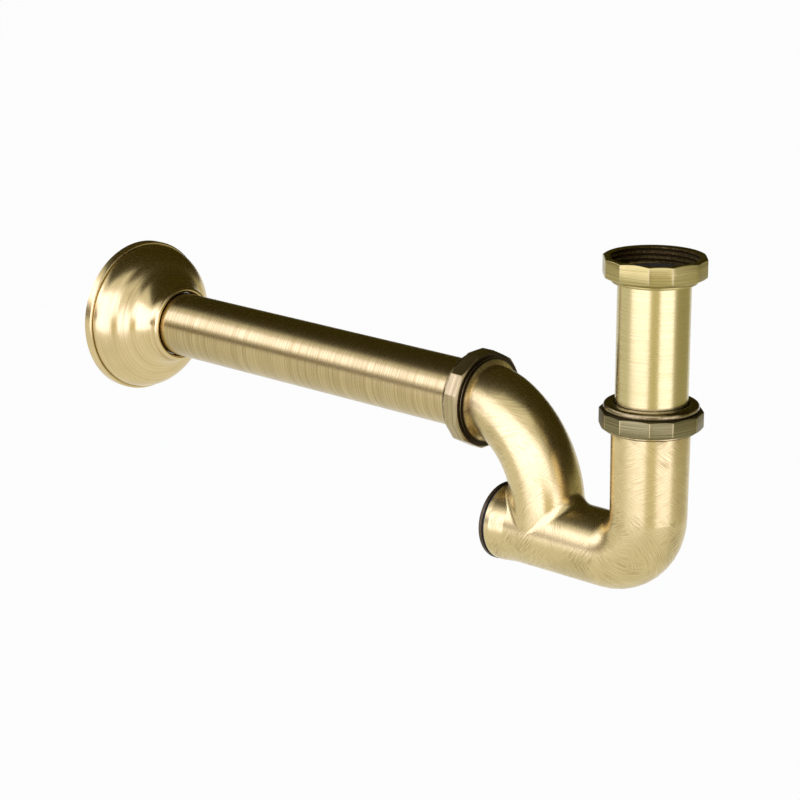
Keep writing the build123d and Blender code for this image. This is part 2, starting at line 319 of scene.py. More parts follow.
def casting_strokes(finish, x, y, z, choice):
    """The strokes of every pipe of the casting, joined by soft masks."""
    past_leg = x + BEND_R
    below_inlet = leg_z + BEND_R - z
    from_centre = (past_leg * past_leg + below_inlet * below_inlet) ** 0.5
    along_bend = past_leg.maths("ARCTAN2", past_leg, below_inlet) * BEND_R - BEND_R
    inlet_start = leg_z + BEND_R * (2 - pi / 2)
    inlet_leg = pipe_strokes(finish, x * -1.0, y, z - inlet_start, choice)
    riser = pipe_strokes(finish, x - RISER_X, y, z, choice)
    outlet = pipe_strokes(finish, z - outlet_z, y, x, choice)
    leg = pipe_strokes(finish, z - leg_z, y, x, choice)
    bend = pipe_strokes(finish, BEND_R - from_centre, y, along_bend, choice)
    lower = past_leg.rise(*BEND_SIDE).between(leg, bend)
    far_side = x.rise(*OUTLET_SIDE).between(riser, outlet)
    upper = x.rise(*RISER_SIDE).between(inlet_leg, far_side)
    return z.rise(*LEG_TOP).between(lower, upper)


print("strokes for five pipes")

# %% [markdown]
# The pad took the brown stain off wherever it could reach. Stain is left in slow clouds and in
# single deep strokes, and beside the nuts the metal is darker in patches. The turned groove under a
# nut is painted nearly black as shade. All of it is mixed from masks between 0 and 1, so each trace
# can be made weaker or stronger by itself.

# %% Brass rubbed by hand
GROOVE_START = 1.0 * MM
GROOVE_END = 1.4 * MM
GROOVE_SOFT = 0.3 * MM
DARKER_BELOW_NUT = 5 * MM
DARKER_BEHIND_NUT = 8 * MM
INLET_SIDE = (-30 * MM, -40 * MM)
CLOUD_STAIN = 0.20
DEEP_STAIN = 0.34
NUT_DARKENING = 0.45
STROKE_DEPTH = 0.0038 * MM
inlet_shoulder_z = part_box("inlet_slip_nut")[0].z
outlet_shoulder_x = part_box("outlet_slip_nut")[1].x


def in_groove(distance):
    """1 in the turned groove under a nut, by the distance from the nut's foot."""
    started = distance.rise(GROOVE_START - GROOVE_SOFT, GROOVE_START)
    return started * distance.rise(GROOVE_END + GROOVE_SOFT, GROOVE_END)


def hand_rubbed_brass():
    """Satin brass of the casting, with crossing strokes, brown stain, darker patches by the nuts and
    painted shade in the grooves under them.
    """
    finish = Finish("trap_body_rubbed_brass")
    x, y, z = finish.place()
    point = finish.vector(x, y, z)
    choice = finish.noise(point, 60.0, 1.0, 0.5).rise(0.44, 0.56)
    strokes = casting_strokes(finish, x, y, z, choice)
    below_nut = (inlet_shoulder_z - z) + x.rise(*INLET_SIDE)
    behind_nut = x - outlet_shoulder_x
    # The turned groove under each nut is painted nearly black: painted shade.
    groove_shade = (in_groove(below_nut) + in_groove(behind_nut)).clamped()
    clouds = finish.noise(point, 36.0, 2.0, 0.5).rise(0.50, 0.75)
    deep = finish.noise(point, 75.0, 1.0, 0.5).rise(0.55, 0.68) * (1 - strokes.rise(0.38, 0.56))
    # Darker patches beside the nuts, below the inlet nut and behind the outlet nut, mixed in with the
    # stain.
    below = below_nut.rise(DARKER_BELOW_NUT, GROOVE_END)
    behind = behind_nut.rise(DARKER_BEHIND_NUT, GROOVE_END)
    by_nuts = (below + behind).clamped() * finish.noise(point, 160.0, 2.0, 0.5).rise(0.42, 0.62)
    stained = (clouds * CLOUD_STAIN + deep * DEEP_STAIN + by_nuts * NUT_DARKENING).clamped()
    dark = colour(0.50, 0.392, 0.168)
    light = colour(0.67, 0.545, 0.260)
    metal = finish.mixed(strokes.rise(0.32, 0.62), dark, light)
    finish.surface(
        Base_Color=finish.mixed(groove_shade, finish.mixed(stained, metal, STAIN), PAINTED_CREVICE_SHADE),
        Metallic=1.0,
        Roughness=(0.27 + (0.5 - strokes) * 0.24 + stained * 0.12 + groove_shade * 0.15).clamped(),
        Normal=finish.bump(strokes, STROKE_DEPTH),
    )
    return finish.material


body_brass = hand_rubbed_brass()
print("one rubbed finish")

# %% [markdown]
# The slip nuts kept most of their dark stain, brushed back on the flats and worn bright on the
# corners. The plug is darker still. Seals are black rubber and the slip rings are nylon: they
# hide inside the joints and show only when a nut is undone.

# %% Dark brass, worn edges, rubber and nylon
SPECK_SHARE = 0.55
SPECK_ROUGHNESS = 0.25


def plain_finish(name, light, dark, rough, grain, metal, depth):
    """A finish with an even, fine grain and slow clouds, for small pieces."""
    finish = Finish(name)
    x, y, z = finish.place()
    point = finish.vector(x, y, z)
    specks = finish.noise(point, 1 / grain, 4.0, 0.6)
    clouds = finish.noise(point, 90.0, 3.0, 0.5)
    share = specks * SPECK_SHARE + clouds * (1 - SPECK_SHARE)
    finish.surface(
        Base_Color=finish.mixed(share.rise(0.34, 0.64), dark, light),
        Metallic=metal,
        Roughness=(rough + (share - 0.5) * SPECK_ROUGHNESS).clamped(),
        Normal=finish.bump(specks, depth),
    )
    return finish.material


outlet_centre = sum(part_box("outlet_slip_nut"), Vector()) / 2
inlet_nut_brass = lathe_brass(
    "inlet_nut_dark_brass", "Z", inlet_centre, colour(0.245, 0.212, 0.094), colour(0.105, 0.087, 0.029),
    rough=0.36, pitch=0.36 * MM, depth=0.022 * MM, cloud=0.35, bend_with_radius=False,
)
outlet_nut_brass = lathe_brass(
    "outlet_nut_dark_brass", "X", outlet_centre, colour(0.46, 0.375, 0.190), colour(0.26, 0.200, 0.085),
    rough=0.30, pitch=0.36 * MM, depth=0.018 * MM, cloud=0.28, bend_with_radius=False,
)
union_brass = lathe_brass(
    "union_nut_filed_brass", "Z", inlet_centre, colour(0.45, 0.375, 0.135), colour(0.24, 0.195, 0.058),
    rough=0.30, pitch=0.40 * MM, depth=0.026 * MM, cloud=0.22, bend_with_radius=False,
)
worn_edge = plain_finish(
    "worn_brass_edge", colour(0.50, 0.42, 0.20), colour(0.33, 0.27, 0.12),
    rough=0.34, grain=0.7 * MM, metal=1.0, depth=0.01 * MM,
)
plug_bronze = plain_finish(
    "plug_dark_bronze", colour(0.115, 0.088, 0.050), colour(0.055, 0.040, 0.020),
    rough=0.40, grain=0.8 * MM, metal=1.0, depth=0.02 * MM,
)
# Near-black brass for the nuts' hollows and the inside of the rosette: painted shade.
painted_shade_brass = plain_finish(
    "painted_shade_brass", colour(0.060, 0.044, 0.020), colour(0.026, 0.018, 0.008),
    rough=0.45, grain=0.8 * MM, metal=1.0, depth=0.02 * MM,
)
ring_brass = plain_finish(
    "nut_ring_brass", colour(0.30, 0.240, 0.115), colour(0.17, 0.130, 0.055),
    rough=0.25, grain=1.6 * MM, metal=1.0, depth=0.004 * MM,
)
seal_rubber = plain_finish(
    "seal_black_rubber", colour(0.030, 0.030, 0.029), colour(0.016, 0.016, 0.016),
    rough=0.62, grain=0.5 * MM, metal=0.0, depth=0.02 * MM,
)
ring_nylon = plain_finish(
    "slip_ring_nylon", colour(0.80, 0.79, 0.74), colour(0.70, 0.69, 0.64),
    rough=0.50, grain=0.6 * MM, metal=0.0, depth=0.01 * MM,
)
print("nine small finishes")

# %% [markdown]
# An inside thread is rubbed bright on its crests, and its roots are painted nearly black as shade.
# The distance from the axis tells the two apart, so one mask on that distance is enough.

# %% Brass of the union nut's thread
BRIGHT_R = 19.7 * MM
ROOT_SHADE_R = 20.4 * MM
SPECK_SCALE = 900.0


def thread_finish():
    """Brass of an inside thread round the Z axis, rubbed on its crests and painted dark as shade in its
    roots.
    """
    finish = Finish("union_thread_brass")
    x, y, z = finish.place()
    depth = ((x * x + y * y) ** 0.5).rise(BRIGHT_R, ROOT_SHADE_R)
    specks = finish.noise(finish.vector(x, y, z), SPECK_SCALE, 3.0, 0.6)
    dark = colour(0.34, 0.260, 0.110)
    light = colour(0.50, 0.395, 0.185)
    crest = finish.mixed(specks.rise(0.35, 0.65), dark, light)
    finish.surface(
        Base_Color=finish.mixed(depth, crest, PAINTED_CREVICE_SHADE),
        Metallic=1.0,
        Roughness=(0.28 + depth * 0.2 + (specks - 0.5) * 0.2).clamped(),
        Normal=finish.bump(specks, 0.01 * MM),
    )
    return finish.material


thread_brass = thread_finish()
print("one thread finish")

# %% [markdown]
# The tubes, the casting, the plug and the seals already have the right shape, so they keep their
# solids and only take a finish.

# %% Finishes on the solids that stay
solid_finishes = {
    "trap_body": body_brass,
    "inlet_tube": inlet_brass,
    "wall_tube": tube_brass,
    "cleanout_plug": plug_bronze,
    "cleanout_gasket": seal_rubber,
    "union_washer": seal_rubber,
    "inlet_cone_seal": seal_rubber,
    "outlet_cone_seal": seal_rubber,
    "inlet_friction_ring": ring_nylon,
    "outlet_friction_ring": ring_nylon,
}
for node, material in solid_finishes.items():
    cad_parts[node].material_slots[0].material = material
print("finished solids:", len(solid_finishes))

# %% [markdown]
# The three nuts are twelve-sided: six wide flats alternate with six narrow ones, and a lathe has
# cut cones across their ends, so each flat ends in a shallow bow. An outline entry tells how far
# out and how high a vertex lies at each angle: the same all the way round on a turned face, and
# out to the flat and up or down to the cone on a flat.

# %% Twelve-sided outlines
WIDE_FLATS = 6
WIDE_FLAT = 34.5
FLAT_PITCH = 360.0 / WIDE_FLATS
STEPS_ON_A_FLAT = 8


def from_flat_middle(angle):
    """Degrees from the middle of the nearest wide flat."""
    return (angle + FLAT_PITCH / 2) % FLAT_PITCH - FLAT_PITCH / 2


def flat_radius(angle, corner_r):
    """Distance from the axis to the flat that lies at this angle, in degrees."""
    offset = from_flat_middle(angle)
    if abs(offset) <= WIDE_FLAT / 2:
        half = WIDE_FLAT / 2
    else:
        half = (FLAT_PITCH - WIDE_FLAT) / 2
        offset = abs(offset) - FLAT_PITCH / 2
    return corner_r * cos(radians(half)) / cos(radians(offset))


def nut_angles():
    """Angles of the vertices round a nut, in degrees, with one on every corner."""
    angles = []
    for flat in range(WIDE_FLATS):
        for start, width in ((-WIDE_FLAT / 2, WIDE_FLAT), (WIDE_FLAT / 2, FLAT_PITCH - WIDE_FLAT)):
            for step in range(STEPS_ON_A_FLAT):
                angles.append(flat * FLAT_PITCH + start + width * step / STEPS_ON_A_FLAT)
    return angles


def round_ring(radius, height):
    """An outline entry at the same radius and height all the way round."""
    return lambda angle: (radius, height)


def flat_ring(corner_r, cone_r, cone_height, corner_height):
    """An outline entry on the flats, where they meet the cone between two radii."""
    slope = (corner_height - cone_height) / (corner_r - cone_r)

    def entry(angle):
        radius = flat_radius(angle, corner_r)
        return radius, cone_height + (radius - cone_r) * slope

    return entry


print("a nut has", len(nut_angles()), "vertices round it")

# %% [markdown]
# A ring of vertices is extruded once for each entry of an outline and closed to itself, which
# makes a tube with the right faces in the wrong place. Each ring is then pulled onto its entry.

# %% Rings pulled onto an outline
def ring_edges(mesh, ring):
    """The edges that run round a ring."""
    members = set(ring)
    return [e for e in mesh.edges if e.verts[0] in members and e.verts[1] in members]


def spot(vert):
    """Where a vertex lies, rounded so that it can be looked up."""
    return tuple(round(c, 6) for c in vert.co)


def pulled_rings(outline, angles):
    """A closed tube of rings. Each outline entry gives the radius and height for an angle."""
    mesh = bmesh.new()
    rings = [bmesh.ops.create_circle(mesh, segments=len(angles), radius=1.0)["verts"]]
    while len(rings) < len(outline):
        made = bmesh.ops.extrude_edge_only(mesh, edges=ring_edges(mesh, rings[-1]))["geom"]
        moved = {spot(v): v for v in made if isinstance(v, bmesh.types.BMVert)}
        rings.append([moved[spot(v)] for v in rings[-1]])
        for vert in rings[-1]:
            vert.co.z += 1.0
    bmesh.ops.bridge_loops(mesh, edges=ring_edges(mesh, rings[0]) + ring_edges(mesh, rings[-1]))
    for ring, entry in zip(rings, outline):
        for vert, angle in zip(ring, angles):
            radius, height = entry(angle)
            vert.co = (radius * cos(radians(angle)), radius * sin(radians(angle)), height)
    mesh.normal_update()
    bmesh.ops.recalc_face_normals(mesh, faces=mesh.faces)
    return mesh, rings


def finish_between(mesh, rings, first, last, slot):
    """Gives a finish to the faces between two rings."""
    between = set(sum(rings[first:last + 1], []))
    for face in mesh.faces:
        if all(vert in between for vert in face.verts):
            face.material_index = slot


print("rings are ready to be pulled")

# %% [markdown]
# No real edge is perfectly sharp. The edges of the flats are bevelled, and the upright ones get a
# worn, bright finish, because that is where a wrench and a cloth rub. A finished mesh is shaded
# smooth, with sharp edges only where its faces turn by more than a set angle.

# %% Worn edges and finished pieces
EDGE_WEAR = 0.22 * MM
WORN_SLOT = 1
UPRIGHT = 0.12
ON_A_CORNER = 0.01
SHARP_TURN = radians(32)


def corner_edges(mesh, lower, upper, angles):
    """The upright edges on the corners between two rings of the flats."""
    found = []
    for low, high, angle in zip(lower, upper, angles):
        if abs(abs(from_flat_middle(angle)) - WIDE_FLAT / 2) < ON_A_CORNER:
            found.append(mesh.edges.get((low, high)))
    return found


def bevelled(mesh, edges, width, segments=2):
    """Rounds edges and returns the new faces."""
    made = bmesh.ops.bevel(
        mesh, geom=edges, offset=width, affect="EDGES", segments=segments, profile=0.5, material=-1
    )
    return made["faces"]


def wear_flats(mesh, lower, upper, angles):
    """Rounds the edges of the flats between two rings and gives the upright ones the worn finish."""
    edges = corner_edges(mesh, lower, upper, angles) + ring_edges(mesh, lower) + ring_edges(mesh, upper)
    for face in bevelled(mesh, edges, EDGE_WEAR):
        face.normal_update()
        if abs(face.normal.z) < UPRIGHT:
            face.material_index = WORN_SLOT


def finished_piece(name, mesh, materials, place):
    """Makes the object, with its place in its mesh, smooth faces and sharp edges where they turn."""
    bmesh.ops.transform(mesh, matrix=place, verts=mesh.verts)
    for face in mesh.faces:
        face.smooth = True
    for edge in mesh.edges:
        edge.smooth = not (len(edge.link_faces) == 2 and edge.calc_face_angle(0.0) > SHARP_TURN)
    data = bpy.data.meshes.new(name)
    mesh.to_mesh(data)
    mesh.free()
    for material in materials:
        data.materials.append(material)
    piece = bpy.data.objects.new(name, data)
    bpy.context.scene.collection.objects.link(piece)
    print(name, "has", len(data.polygons), "faces")
    return piece


print("edges wear by", EDGE_WEAR, "m")

# %% [markdown]
# A slip nut squeezes the seal of a joint. From its foot upwards it has a cone, the flats, a short
# cone, a groove and a round shoulder ring with the hole for the tube. Inside it is hollow for the
# thread. The same outline serves both joints: only its place and its turn differ.

# %% Slip nuts
NUT_CORNER_R = 23.0 * MM
NUT_CAVITY_R = 20.3 * MM
NUT_HOLE_R = 16.5 * MM
NUT_FOOT = 1.2 * MM
NUT_FOOT_HEIGHT = 0.9 * MM
NUT_CROWN = 1.7 * MM
NUT_CROWN_HEIGHT = 0.5 * MM
NUT_RING_R = 21.0 * MM
NUT_RING_HEIGHT = 3.0 * MM
NUT_RING_ROUND = 1.6 * MM
NUT_GROOVE = 0.5 * MM
NUT_ROOF = 2.9 * MM
PAINTED_SHADE_SLOT = 2
RING_SLOT = 3
INLET_NUT_TURN = radians(-10.5)
OUTLET_NUT_TURN = radians(27.0)


def slip_nut(name, height, materials, place):
    """A slip nut on local +Z from 0 to its height."""
    angles = nut_angles()
    ring_bottom = height - NUT_RING_HEIGHT
    foot_r = NUT_CORNER_R - NUT_FOOT
    crown_r = NUT_CORNER_R - NUT_CROWN
    groove_r = NUT_RING_R - NUT_GROOVE
    outline = [
        round_ring(NUT_CAVITY_R, 0),
        round_ring(foot_r, 0),
        flat_ring(NUT_CORNER_R, foot_r, 0, NUT_FOOT_HEIGHT),
        flat_ring(NUT_CORNER_R, crown_r, ring_bottom, ring_bottom - NUT_CROWN_HEIGHT),
        round_ring(crown_r, ring_bottom),
        round_ring(groove_r, ring_bottom),
        round_ring(groove_r, ring_bottom + NUT_GROOVE),
        round_ring(NUT_RING_R, ring_bottom + NUT_GROOVE),
        round_ring(NUT_RING_R, height),
        round_ring(NUT_HOLE_R, height),
        round_ring(NUT_HOLE_R, height - NUT_ROOF),
        round_ring(NUT_CAVITY_R, height - NUT_ROOF),
    ]
    mesh, rings = pulled_rings(outline, angles)
    # The foot, the groove and the inside of the hole take the near-black brass: painted shade.
    for first, last in ((0, 1), (4, 6), (9, 11)):
        finish_between(mesh, rings, first, last, PAINTED_SHADE_SLOT)
    finish_between(mesh, rings, 6, 9, RING_SLOT)
    bevelled(mesh, ring_edges(mesh, rings[8]), NUT_RING_ROUND, segments=6)
    for number in (1, 7, 9):
        bevelled(mesh, ring_edges(mesh, rings[number]), EDGE_WEAR)
    wear_flats(mesh, rings[2], rings[3], angles)
    return finished_piece(name, mesh, materials, place)


def along_wall(start_x, height_z):
    """Place of a piece whose local +Z points to the wall and local +X upwards."""
    turn = Matrix(((0, 0, -1, 0), (0, 1, 0, 0), (1, 0, 0, 0), (0, 0, 0, 1)))
    return Matrix.Translation((start_x, 0, height_z)) @ turn


inlet_low, inlet_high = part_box("inlet_slip_nut")
outlet_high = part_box("outlet_slip_nut")[1]
nut_height = inlet_high.z - inlet_low.z
inlet_nut = slip_nut(
    "inlet_slip_nut_turned", nut_height, [inlet_nut_brass, worn_edge, painted_shade_brass, ring_brass],
    Matrix.Translation((0, 0, inlet_low.z)) @ Matrix.Rotation(INLET_NUT_TURN, 4, "Z"),
)
outlet_nut = slip_nut(
    "outlet_slip_nut_turned", nut_height, [outlet_nut_brass, worn_edge, painted_shade_brass, ring_brass],
    along_wall(outlet_high.x, outlet_z) @ Matrix.Rotation(OUTLET_NUT_TURN, 4, "Z"),
)
for piece, node in ((inlet_nut, "inlet_slip_nut"), (outlet_nut, "outlet_slip_nut")):
    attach(piece, node)
    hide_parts(node)

# %% [markdown]
# The union nut screws onto the basin waste, and its thread is the first thing the eye finds when
# it looks into the mouth. A thread is a zigzag that is swept once round the axis while it climbs
# by one pitch: the end of the sweep then meets its own start one ridge higher. Flat cuts trim it
# top and bottom.

# %% Inside thread
THREAD_PITCH = 2.309 * MM
THREAD_STEPS = 96
CREST_END = 0.12
ROOT_START = 0.48
ROOT_END = 0.62
TURNS_TO_SPARE = 3
START_BELOW = 1.5
SAME_SPOT = 0.001 * MM


def thread_wall(crest_r, root_r, low, high):
    """The wall of an inside thread between two heights, open at both ends."""
    mesh = bmesh.new()
    turns = int((high - low) / THREAD_PITCH) + TURNS_TO_SPARE
    ridge = ((0.0, crest_r), (CREST_END, crest_r), (ROOT_START, root_r), (ROOT_END, root_r))
    points = []
    for turn in range(turns):
        start = low - START_BELOW * THREAD_PITCH + turn * THREAD_PITCH
        for share, radius in ridge:
            points.append((radius, 0, start + share * THREAD_PITCH))
    verts = [mesh.verts.new(point) for point in points]
    edges = [mesh.edges.new(pair) for pair in zip(verts, verts[1:])]
    bmesh.ops.spin(
        mesh, geom=verts + edges, cent=(0, 0, 0), axis=(0, 0, 1),
        dvec=(0, 0, THREAD_PITCH / THREAD_STEPS), angle=2 * pi, steps=THREAD_STEPS, use_merge=False,
    )
    bmesh.ops.remove_doubles(mesh, verts=mesh.verts, dist=SAME_SPOT)
    for height, keep_below in ((high, True), (low, False)):
        bmesh.ops.bisect_plane(
            mesh, geom=mesh.verts[:] + mesh.edges[:] + mesh.faces[:], plane_co=(0, 0, height),
            plane_no=(0, 0, 1), clear_outer=keep_below, clear_inner=not keep_below,
        )
    return mesh


print("a thread climbs", THREAD_PITCH, "m in a turn")

# %% [markdown]
# The nut itself is pulled like the slip nuts, with a round neck below its cone. The faces where
# the thread belongs are taken out, the thread's mesh is added, and bridges close it to the nut.

# %% Union nut with its thread
UNION_CORNER_R = 23.0 * MM
UNION_TOP_CHAMFER = 1.25 * MM
UNION_TOP_HEIGHT = 0.7 * MM
UNION_NECK_R = 18.8 * MM
UNION_NECK_HEIGHT = 1.0 * MM
UNION_CHAMFER_HEIGHT = 1.8 * MM
UNION_MOUTH_R = 20.85 * MM
UNION_CREST_R = 19.5 * MM
UNION_ROOT_R = 20.6 * MM
UNION_THREAD_TOP = -0.6 * MM
UNION_THREAD_BOTTOM = -7.4 * MM
UNION_RECESS_R = 18.3 * MM
UNION_FLOOR = 1.0 * MM
UNION_EDGE_WEAR = EDGE_WEAR * 0.6
UNION_TURN = radians(-15.6)
THREAD_SEAM_R = UNION_CREST_R - 0.02 * MM
THREAD_SLOT = 2
SAME_HEIGHT = 0.002 * MM
HAIR = 0.01 * MM


def border_at(mesh, height):
    """The open edges that lie at a height."""
    open_edges = [e for e in mesh.edges if e.is_boundary]
    return [e for e in open_edges if all(abs(v.co.z - height) < SAME_HEIGHT for v in e.verts)]


def union_nut():
    """The union nut on the Z axis with its mouth at height 0."""
    angles = nut_angles()
    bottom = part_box("union_nut")[0].z
    neck_top = bottom + UNION_NECK_HEIGHT
    rim_r = UNION_CORNER_R - UNION_TOP_CHAMFER
    outline = [
        round_ring(THREAD_SEAM_R, UNION_THREAD_TOP),
        round_ring(UNION_MOUTH_R, 0),
        round_ring(rim_r, 0),
        flat_ring(UNION_CORNER_R, rim_r, 0, -UNION_TOP_HEIGHT),
        flat_ring(UNION_CORNER_R, UNION_NECK_R, neck_top, neck_top + UNION_CHAMFER_HEIGHT),
        round_ring(UNION_NECK_R, neck_top),
        round_ring(UNION_NECK_R, bottom),
        round_ring(NUT_HOLE_R, bottom),
        round_ring(NUT_HOLE_R, bottom + UNION_FLOOR),
        round_ring(UNION_RECESS_R, bottom + UNION_FLOOR),
        round_ring(UNION_RECESS_R, UNION_THREAD_BOTTOM),
        round_ring(THREAD_SEAM_R, UNION_THREAD_BOTTOM),
    ]
    mesh, rings = pulled_rings(outline, angles)
    seams = set(rings[0] + rings[-1])
    thread_side = [f for f in mesh.faces if all(v in seams for v in f.verts)]
    bmesh.ops.delete(mesh, geom=thread_side, context="FACES_ONLY")
    for number in (1, 2, 6):
        bevelled(mesh, ring_edges(mesh, rings[number]), UNION_EDGE_WEAR)
    wear_flats(mesh, rings[3], rings[4], angles)
    thread = thread_wall(UNION_CREST_R, UNION_ROOT_R, UNION_THREAD_BOTTOM, UNION_THREAD_TOP)
    for face in thread.faces:
        face.material_index = THREAD_SLOT
    spare = bpy.data.meshes.new("thread")
    thread.to_mesh(spare)
    thread.free()
    mesh.from_mesh(spare)
    bpy.data.meshes.remove(spare)
    for height in (UNION_THREAD_TOP, UNION_THREAD_BOTTOM):
        made = bmesh.ops.bridge_loops(mesh, edges=border_at(mesh, height))
        for face in made["faces"]:
            face.material_index = THREAD_SLOT
    for face in mesh.faces:
        middle = face.calc_center_median()
        if middle.xy.length < UNION_RECESS_R + HAIR and middle.z > bottom + HAIR:
            face.material_index = THREAD_SLOT
    bmesh.ops.recalc_face_normals(mesh, faces=mesh.faces)
    return mesh


union = finished_piece(
    "union_nut_threaded", union_nut(), [union_brass, worn_edge, thread_brass],
    Matrix.Rotation(UNION_TURN, 4, "Z"),
)
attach(union, "union_nut")
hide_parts("union_nut")

# %% [markdown]
# The rosette was spun from sheet over a wooden form: a flat rim, a swelling dome that turns hollow
# towards the tube, and a rolled lip. Its outline is a chain of arcs, and one full spin about the
# tube's axis makes the bell.

# %% Wall rosette
ROSETTE_RIM_R = 38.58 * MM
ROSETTE_DOME_R = 37.2 * MM
ROSETTE_NECK_R = 18.9 * MM
ROSETTE_HOLE_R = 16.4 * MM
ROSETTE_RIM_WIDTH = 4.6 * MM
ROSETTE_DEPTH = 30.4 * MM
ROSETTE_LIP = 2.2 * MM
ROSETTE_WALL = 1.0 * MM
ROSETTE_EDGE = 0.7 * MM
ROSETTE_GROOVE = 0.45 * MM
ROSETTE_FOOT = 0.2 * MM


def arc(centre, radius, start, end, steps):
    """Points on an arc in the (radius, depth) plane; the angles are in degrees."""
    turn = (end - start) / steps
    angles = [radians(start + turn * i) for i in range(steps + 1)]
    return [(centre[0] + radius * cos(a), centre[1] + radius * sin(a)) for a in angles]


def rosette_outline():
    """Closed outline of the bell, from the wall along the outside and back along the inside."""
    length = ROSETTE_DEPTH - ROSETTE_RIM_WIDTH
    drop = ROSETTE_DOME_R - ROSETTE_NECK_R
    sweep = (length**2 + drop**2) / (4 * drop)
    meeting = degrees(atan2(length / 2, sweep - drop / 2))
    dome = (ROSETTE_DOME_R - sweep, ROSETTE_RIM_WIDTH)
    neck = (ROSETTE_NECK_R + sweep, ROSETTE_DEPTH)
    lip_r = (ROSETTE_NECK_R - ROSETTE_HOLE_R) / 2
    lip = (ROSETTE_HOLE_R + lip_r, ROSETTE_DEPTH + ROSETTE_LIP - lip_r)
    edge = (ROSETTE_RIM_R - ROSETTE_EDGE, ROSETTE_RIM_WIDTH - ROSETTE_EDGE)
    groove_r = ROSETTE_DOME_R + ROSETTE_GROOVE * 0.5
    points = [(ROSETTE_RIM_R - ROSETTE_WALL, 0), (ROSETTE_RIM_R - ROSETTE_FOOT, 0)]
    points += [(ROSETTE_RIM_R, ROSETTE_FOOT)]
    points += arc(edge, ROSETTE_EDGE, 0, 90, 5)
    points += [(groove_r, ROSETTE_RIM_WIDTH), (groove_r, ROSETTE_RIM_WIDTH - ROSETTE_GROOVE)]
    points += [(ROSETTE_DOME_R, ROSETTE_RIM_WIDTH - ROSETTE_GROOVE)]
    points += arc(dome, sweep, 0, meeting, 16)
    points += arc(neck, sweep, 180 + meeting, 180, 16)[1:]
    points += arc(lip, lip_r, 0, 180, 10)
    points += [(ROSETTE_HOLE_R, ROSETTE_DEPTH)]
    points += arc(neck, sweep + ROSETTE_WALL, 180, 180 + meeting, 12)
    points += arc(dome, sweep - ROSETTE_WALL, meeting, 0, 12)[1:]
    inside = ROSETTE_DOME_R - ROSETTE_WALL
    step = ROSETTE_RIM_WIDTH - ROSETTE_WALL
    points += [(inside, step), (ROSETTE_RIM_R - ROSETTE_WALL, step)]
    return points


print("the rosette's outline has", len(rosette_outline()), "points")

# %% [markdown]
# Spinning is the right operator for a spun piece. It leaves a seam of double vertices, which are
# merged before the normals are turned outwards. Faces that look towards the axis or back to the
# wall are the inside of the bell: they take the second finish, a near-black brass that is painted
# shade for the dark inside of the bell against the wall.

# %% Spin the rosette
SPIN_STEPS = 144
SHADED_INSIDE_SLOT = 1
LIP_LIMIT = 0.2
BACK_LIMIT = -0.5


def spun(outline, name, materials, place):
    """A closed outline of (radius, height) points spun once about the Z axis."""
    mesh = bmesh.new()
    verts = [mesh.verts.new((radius, 0, height)) for radius, height in outline]
    edges = [mesh.edges.new((a, b)) for a, b in zip(verts, verts[1:] + verts[:1])]
    bmesh.ops.spin(
        mesh, geom=verts + edges, cent=(0, 0, 0), axis=(0, 0, 1),
        angle=2 * pi, steps=SPIN_STEPS, use_merge=True,
    )
    bmesh.ops.remove_doubles(mesh, verts=mesh.verts, dist=SAME_SPOT)
    bmesh.ops.recalc_face_normals(mesh, faces=mesh.faces)
    for face in mesh.faces:
        to_axis = face.normal.xy.dot(face.calc_center_median().xy) < 0
        inwards = to_axis or face.normal.z < BACK_LIMIT
        face.material_index = SHADED_INSIDE_SLOT if inwards and face.normal.z < LIP_LIMIT else 0
    return finished_piece(name, mesh, materials, place)


def off_the_wall(start_x, height_z):
    """Place of a piece whose local +Z points away from the wall and local +X upwards."""
    turn = Matrix(((0, 0, 1, 0), (0, -1, 0, 0), (1, 0, 0, 0), (0, 0, 0, 1)))
    return Matrix.Translation((start_x, 0, height_z)) @ turn


wall_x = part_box("wall_rosette")[0].x
on_the_wall = off_the_wall(wall_x, outlet_z)
rosette = spun(rosette_outline(), "wall_rosette_spun", [rosette_brass, painted_shade_brass], on_the_wall)
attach(rosette, "wall_rosette")
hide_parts("wall_rosette")

# %% [markdown]
# A thin rubber ring inside the rolled lip grips the tube, so that the rosette stays where it is
# pushed. From outside it is the dark line between lip and tube: its black is the rubber's own colour
# and also stands in for the shade in that gap. A ring of round section, spun once, is enough.

# %% Grip ring in the rosette
GRIP_INNER_R = 16.08 * MM
GRIP_R = 0.45 * MM
GRIP_SUNK = 0.6 * MM
GRIP_SIDES = 10

grip_middle = (GRIP_INNER_R + GRIP_R, ROSETTE_DEPTH - GRIP_SUNK)
grip_section = arc(grip_middle, GRIP_R, 0, 360, GRIP_SIDES)[:-1]
grip = spun(grip_section, "rosette_grip_ring", [seal_rubber, seal_rubber], on_the_wall)
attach(grip, "wall_rosette")

# %% [markdown]
# Undo a slip nut or the plug and its thread shows. These outside threads are one low ridge wound
# round the plain cylinder of the solid: a small triangle, spun with a climb.

# %% Threads on the body and on the plug
RIDGE_HEIGHT = 0.24 * MM
RIDGE_WIDTH = 0.42 * THREAD_PITCH
RIDGE_SUNK = 0.05 * MM
RIDGE_START = 0.3 * MM
RIDGE_STEPS = 60
BODY_THREAD_R = 20.0 * MM
BODY_THREAD_LENGTH = 6.3 * MM
BODY_RUN_OUT = 0.2 * MM
PLUG_THREAD_R = 15.6 * MM
PLUG_THREAD_LENGTH = 8.4 * MM
PLUG_RUN_OUT = 0.6 * MM
NUT_GAP = 0.4 * MM


